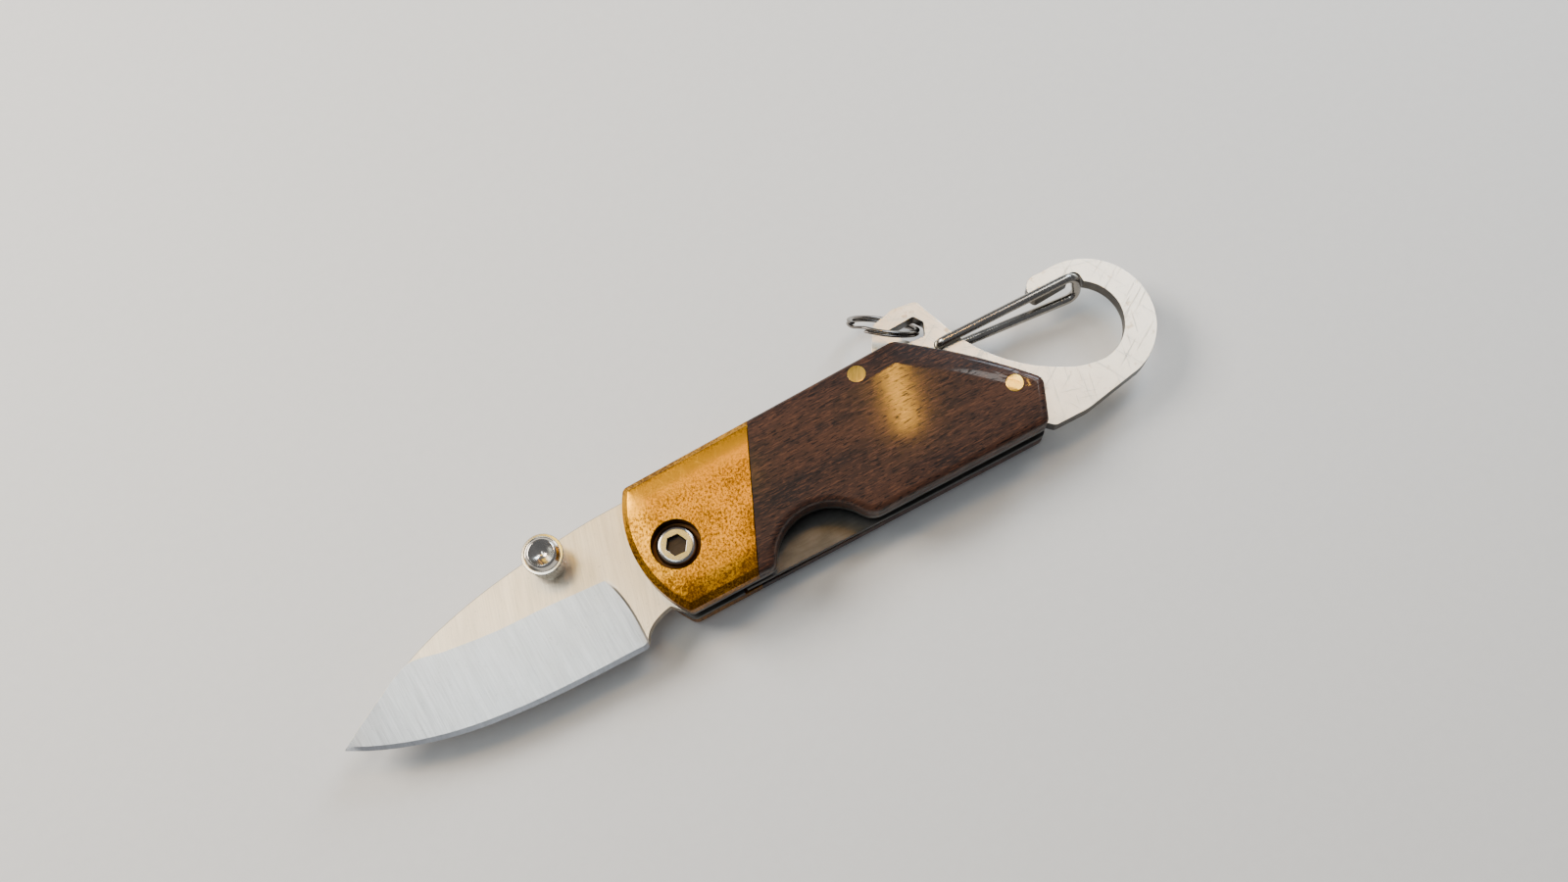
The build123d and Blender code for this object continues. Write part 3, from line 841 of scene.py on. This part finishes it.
class KNIFE_OT_blade(bpy.types.Operator):
    """Ground blade with its bevel, honed edge, choil and tang"""

    bl_idname = "knife.blade"
    bl_label = "Blade"

    def execute(self, context):
        sizes = context.scene.knife_sizes
        obj = lay_blade_grid(sizes)
        only(obj)
        mirror = obj.modifiers.new("other_side", "MIRROR")
        mirror.use_axis = (False, False, True)
        mirror.merge_threshold = 0.002 * MM
        bpy.ops.object.modifier_apply(modifier=mirror.name)
        edit(obj)
        bpy.ops.transform.translate(value=(0, 0, BLADE_MID_Z))
        bpy.ops.mesh.remove_doubles(threshold=0.002 * MM)
        bpy.ops.mesh.dissolve_degenerate(threshold=0.001 * MM)
        close_openings()

        tang = merged_copy("blade")
        edit(tang)
        bpy.ops.mesh.bisect(
            plane_co=from_pivot(TANG_CUT - TANG_LAP, 0), plane_no=(1, 0, 0),
            clear_inner=True, use_fill=True,
        )
        leave_edit()
        tang.data.materials.clear()
        cut_away(obj, tang, "UNION")

        bpy.ops.object.select_all(action="DESELECT")
        bpy.ops.mesh.primitive_cone_add(
            vertices=64, radius1=STUD_SCREW_HEAD * 1.02, radius2=STUD_SHANK,
            depth=COUNTERSINK, location=(STUD_X, STUD_Y, BLADE_LOW.z + COUNTERSINK / 2),
        )
        sink = context.object
        edit(sink)
        bpy.ops.transform.resize(
            value=(1, 1, 1.001), center_override=(STUD_X, STUD_Y, BLADE_LOW.z + COUNTERSINK)
        )
        leave_edit()
        cut_away(obj, sink)
        sharpen_finish_borders(obj)
        finish_piece(obj, "blade_ground", "blade_unit", "blade_steel", ["blade"], smooth=22)
        return {"FINISHED"}


# ---- other pieces ----------------------------------------------------------------------
class KNIFE_OT_bolsters(bpy.types.Operator):
    """Worn brass bolsters with their dowels"""

    bl_idname = "knife.bolsters"
    bl_label = "Bolsters"

    def execute(self, context):
        sizes = context.scene.knife_sizes
        for side in ("front", "rear"):
            bolster = refined(
                f"{side}_bolster", "worn", sizes.brass_edge, "brass", crowned=True
            )
            # the recess walls and floor round the pivot get a near-black finish: painted shade
            paint(
                bolster, "recess_brass",
                lambda centre, normal: near_pivot(centre, RECESS_RADIUS) and (
                    abs(normal.z) < UPRIGHT or RECESS_SKIN < centre.z < TOP_Z - RECESS_SKIN
                ),
            )
        refined("bolster_dowels", "turned", sizes.screw_edge, "screw_steel")
        return {"FINISHED"}


class KNIFE_OT_scales(bpy.types.Operator):
    """Rounded dark wood scales and their rivets"""

    bl_idname = "knife.scales"
    bl_label = "Scales"

    def execute(self, context):
        sizes = context.scene.knife_sizes
        for side in ("front", "rear"):
            refined(f"{side}_scale", "rounded", sizes.wood_edge, "dark_wood", crowned=True)
        for pin in ("spine_pin", "tail_pin"):
            refined(pin, "peened", sizes.screw_edge, "rivet_brass", crowned=True)
        return {"FINISHED"}


class KNIFE_OT_liners(bpy.types.Operator):
    """Steel liners, the lock leaf, washers and the stop pin"""

    bl_idname = "knife.liners"
    bl_label = "Liners"

    def execute(self, context):
        edge = context.scene.knife_sizes.liner_edge
        for side in ("front", "rear"):
            # the liners and the lock leaf carry the near-black painted shade
            refined(f"{side}_liner", "blanked", edge, "liner_steel")
            refined(f"{side}_washer", "flat", edge * WASHER_EDGE, "washer_bronze")
        leaf = refined("lock_leaf", "sprung", edge, "liner_steel")
        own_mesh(leaf)
        refined("stop_pin", "turned", edge, "screw_steel")
        return {"FINISHED"}


class KNIFE_OT_pivot(bpy.types.Operator):
    """Socket-head pivot screw and its barrel"""

    bl_idname = "knife.pivot"
    bl_label = "Pivot"

    def execute(self, context):
        edge = context.scene.knife_sizes.screw_edge
        refined("pivot_barrel", "turned", edge, "screw_steel")
        screw = refined("pivot_screw", "turned", edge, "screw_steel")
        head_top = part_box("pivot_screw")[1].z
        # the hex socket's faces get a near-black finish: painted shade in the socket
        paint(
            screw, "socket_steel",
            lambda centre, normal: near_pivot(centre, SOCKET_RADIUS)
            and centre.z < head_top - SOCKET_RIM * edge,
        )
        return {"FINISHED"}


class KNIFE_OT_stud(bpy.types.Operator):
    """Knurled thumb stud with its dimple, and the screw that holds it"""

    bl_idname = "knife.stud"
    bl_label = "Thumb stud"

    def execute(self, context):
        sizes = context.scene.knife_sizes
        centre = Vector((STUD_X, STUD_Y, 0))
        foot, top = STUD_LOW.z, STUD_HIGH.z
        deck = BLADE_HIGH.z
        flange = (STUD_HIGH.x - STUD_LOW.x) / 2
        grip_foot, grip_top = deck + STUD_FOOT_HEIGHT, top - STUD_FLANGE_DROP
        profile = [
            (STUD_SHANK, foot), (STUD_SHANK, deck), (STUD_FOOT - 0.12 * MM, deck + 0.01 * MM),
            (STUD_FOOT, deck + 0.12 * MM), (STUD_FOOT, grip_foot - 0.12 * MM),
        ]
        grip = grip_top - grip_foot
        for step in range(KNURL_STEPS + 1):
            profile.append((STUD_GRIP, grip_foot + grip * step / KNURL_STEPS))
        profile += [
            (STUD_FOOT, grip_top + 0.03 * MM), (flange - 0.1 * MM, grip_top + 0.05 * MM),
            (flange, grip_top + 0.15 * MM), (flange, top - 0.95 * MM),
            (flange - 0.09 * MM, top - 0.86 * MM), (flange - 0.34 * MM, top - 0.85 * MM),
        ]
        profile += [(radius * MM, top - depth * MM) for radius, depth in STUD_CROWN]
        stud = lathe(centre, profile, points=sizes.knurl_teeth * POINTS_PER_TOOTH)
        for point in stud.data.vertices:
            away = Vector((point.co.x - centre.x, point.co.y - centre.y))
            share = (point.co.z - grip_foot) / grip
            if away.length < STUD_GRIP - 0.01 * MM or not -0.001 <= share <= 1.001:
                continue
            turn = atan2(away.y, away.x) * sizes.knurl_teeth + share * KNURL_SLANT
            groove = sizes.knurl_depth * (0.5 - 0.5 * cos(turn)) ** 0.7
            fade = min(1.0, 8 * min(share, 1 - share) + 0.2)
            away *= 1 - groove * fade / away.length
            point.co.x, point.co.y = centre.x + away.x, centre.y + away.y
        finish_piece(
            stud, "thumb_stud_knurled", "blade_unit", "stud_steel", ["thumb_stud"],
            smooth=30, flats=False,
        )
        refined("stud_screw", "turned", sizes.screw_edge * 0.5, "screw_steel", "blade_unit")
        return {"FINISHED"}


class KNIFE_OT_tail(bpy.types.Operator):
    """Stamped hook plate and its wire gate"""

    bl_idname = "knife.tail"
    bl_label = "Hook plate and gate"

    def execute(self, context):
        sizes = context.scene.knife_sizes
        plate = refined("hook_plate", "tumbled", sizes.plate_edge, "plate_steel")
        # the plate's upright walls get a near-black finish: painted shade
        paint(plate, "sheared_steel", lambda centre, normal: abs(normal.z) < UPRIGHT)
        gate = merged_copy("wire_gate", flat_angle=None)
        finish_piece(
            gate, "wire_gate_bent", "gate", "wire_steel", ["wire_gate"], smooth=50, flats=False
        )
        return {"FINISHED"}


class KNIFE_OT_ring(bpy.types.Operator):
    """Split ring of two wire turns that step past each other"""

    bl_idname = "knife.ring"
    bl_label = "Split ring"

    def execute(self, context):
        sizes = context.scene.knife_sizes
        first_place = (RING_RADIUS, 0, -sizes.ring_wire / 2)
        bpy.ops.object.select_all(action="DESELECT")
        bpy.ops.mesh.primitive_circle_add(
            vertices=16, radius=0.5, fill_type="NGON",
            location=first_place, rotation=(pi / 2, 0, 0),
        )
        ring = context.object
        bpy.ops.object.transform_apply(location=True, rotation=True, scale=True)
        edit(ring)
        bpy.ops.transform.resize(
            value=(RING_DEPTH, 1, sizes.ring_wire), center_override=first_place
        )
        crossing = radians(RING_CROSSING)
        sweep = 4 * pi - crossing
        step = sweep / RING_STEPS
        raised = 0.0
        for index in range(RING_STEPS):
            share = ((index + 1) * step - (2 * pi - crossing)) / crossing
            share = max(0.0, min(1.0, share))
            lift = sizes.ring_wire * (share * share * (3 - 2 * share)) * RING_PITCH
            bpy.ops.mesh.extrude_region_move(
                TRANSFORM_OT_translate={"value": (0, 0, lift - raised)}
            )
            bpy.ops.transform.rotate(
                value=-step, orient_axis="Z", center_override=(0, 0, 0)
            )
            raised = lift
        bpy.ops.mesh.select_all(action="SELECT")
        bpy.ops.mesh.normals_make_consistent(inside=False)
        leave_edit()
        toward_hole = Vector((cos(RING_HEADING), sin(RING_HEADING), 0))
        across = RING_AXIS.cross(toward_hole)
        turn = Matrix((toward_hole, across, RING_AXIS)).transposed().to_4x4()
        start = Matrix.Rotation(RING_START, 4, "Z")
        ring.data.transform(Matrix.Translation(RING_CENTRE) @ turn @ start)
        soften(ring, RING_EDGE, angle=50)
        finish_piece(
            ring, "split_ring", "ring", "ring_steel", ["key_ring"], smooth=40, flats=False
        )
        return {"FINISHED"}


# ---- stage -----------------------------------------------------------------------------
CAMERA_PLACE = (-12.8, -57.1, 203.6)        # millimetres
CAMERA_TURN = (17.35, 2.73, -27.77)         # degrees about X, Y and Z
CAMERA_LENS = 36.0
CAMERA_SENSOR = 36.0
CAMERA_NEAR = 0.01
ROOM_COLOUR = (0.74, 0.77, 0.84)
ROOM_STRENGTH = 0.28
ORIGIN = (0, 0, 0)
LIGHTS = (
    # name, power in watts, width and depth in millimetres, place, target, colour
    ("key_softbox", 3.0, 220, 220, (-240, 270, 330), ORIGIN, (1.0, 0.93, 0.84)),
    ("window_side", 1.6, 160, 220, (340, 220, 260), ORIGIN, (0.74, 0.87, 1.0)),
    ("bevel_strip", 0.26, 180, 60, (-90, 12, 420), ORIGIN, (0.84, 0.95, 1.0)),
    ("flat_panel", 0.088, 80, 44, (-98, 112, 400), ORIGIN, (1.0, 0.85, 0.60)),
    ("warm_lamp", 0.088, 96, 60, (-14, 125, 400), ORIGIN, (1.0, 0.64, 0.02)),
    ("glow_strip", 0.13, 7, 46, (102, 114, 400), (82, 14, 0), (1.0, 0.46, 0.04)),
    ("tail_panel", 0.30, 114, 80, (212, 112, 400), ORIGIN, (1.0, 0.98, 0.93)),
)
FLOOR_SIZE = 12.0         # metres


def aim(obj, target):
    """Point an object's -Z at a target."""
    obj.rotation_euler = (Vector(target) - obj.location).to_track_quat("-Z", "Y").to_euler()


class KNIFE_OT_stage(bpy.types.Operator):
    """Lay the floor, hang the soft lights and set the camera"""

    bl_idname = "knife.stage"
    bl_label = "Stage"

    def execute(self, context):
        colours = context.scene.knife_colours
        bpy.ops.object.select_all(action="DESELECT")
        bpy.ops.mesh.primitive_plane_add(size=FLOOR_SIZE, location=(0, 0, 0))
        floor = context.object
        floor.name = "floor"
        made = Finish("floor_paper", roughness=0.7)
        fibres = made.noise(made.place(scale=(0.7, 0.7, 0.7)), detail=5.0)
        tone = made.mix(fibres, shade(colours.floor, 0.96), shade(colours.floor, 1.03))
        floor.data.materials.append(made.feed(base_color=tone))

        world = bpy.data.worlds.new("room")
        context.scene.world = world
        world.use_nodes = True
        background = world.node_tree.nodes["Background"]
        background.inputs["Color"].default_value = rgba(ROOM_COLOUR)
        background.inputs["Strength"].default_value = ROOM_STRENGTH

        for name, power, width, depth, place, target, tint in LIGHTS:
            bpy.ops.object.light_add(type="AREA", location=Vector(place) * MM)
            lamp = context.object
            lamp.name = name
            lamp.data.shape = "RECTANGLE"
            lamp.data.energy = power
            lamp.data.size = width * MM
            lamp.data.size_y = depth * MM
            lamp.data.color = tint
            aim(lamp, Vector(target) * MM)

        bpy.ops.object.camera_add(location=Vector(CAMERA_PLACE) * MM)
        camera = context.object
        camera.name = "camera"
        camera.rotation_euler = Euler([radians(angle) for angle in CAMERA_TURN])
        camera.data.lens = CAMERA_LENS
        camera.data.sensor_width = CAMERA_SENSOR
        camera.data.clip_start = CAMERA_NEAR
        context.scene.camera = camera
        return {"FINISHED"}


# ---- panel and order -------------------------------------------------------------------
PIECE_OPERATORS = (
    KNIFE_OT_finishes, KNIFE_OT_blade, KNIFE_OT_bolsters, KNIFE_OT_scales, KNIFE_OT_liners,
    KNIFE_OT_pivot, KNIFE_OT_stud, KNIFE_OT_tail, KNIFE_OT_ring, KNIFE_OT_stage,
)


class KNIFE_PT_panel(bpy.types.Panel):
    """Lists the knife's sizes, colours and pieces"""

    bl_idname = "KNIFE_PT_panel"
    bl_label = "Pocket knife"
    bl_space_type = "VIEW_3D"
    bl_region_type = "UI"
    bl_category = "Knife"

    def draw(self, context):
        for settings in (context.scene.knife_sizes, context.scene.knife_colours):
            for name in settings.__annotations__:
                self.layout.prop(settings, name)
        for operator in PIECE_OPERATORS:
            self.layout.operator(operator.bl_idname)


CLASSES = (KnifeSizes, KnifeColours, *PIECE_OPERATORS, KNIFE_PT_panel)


def register():
    """Register the classes and the scene's settings."""
    for cls in CLASSES:
        bpy.utils.register_class(cls)
    bpy.types.Scene.knife_sizes = bpy.props.PointerProperty(type=KnifeSizes)
    bpy.types.Scene.knife_colours = bpy.props.PointerProperty(type=KnifeColours)


def unregister():
    """Take the settings and classes away again."""
    del bpy.types.Scene.knife_colours
    del bpy.types.Scene.knife_sizes
    for cls in reversed(CLASSES):
        bpy.utils.unregister_class(cls)


def main():
    """Build every piece in order."""
    register()
    for operator in PIECE_OPERATORS:
        family, name = operator.bl_idname.split(".")
        getattr(getattr(bpy.ops, family), name)()


if __name__ == "__main__":
    main()
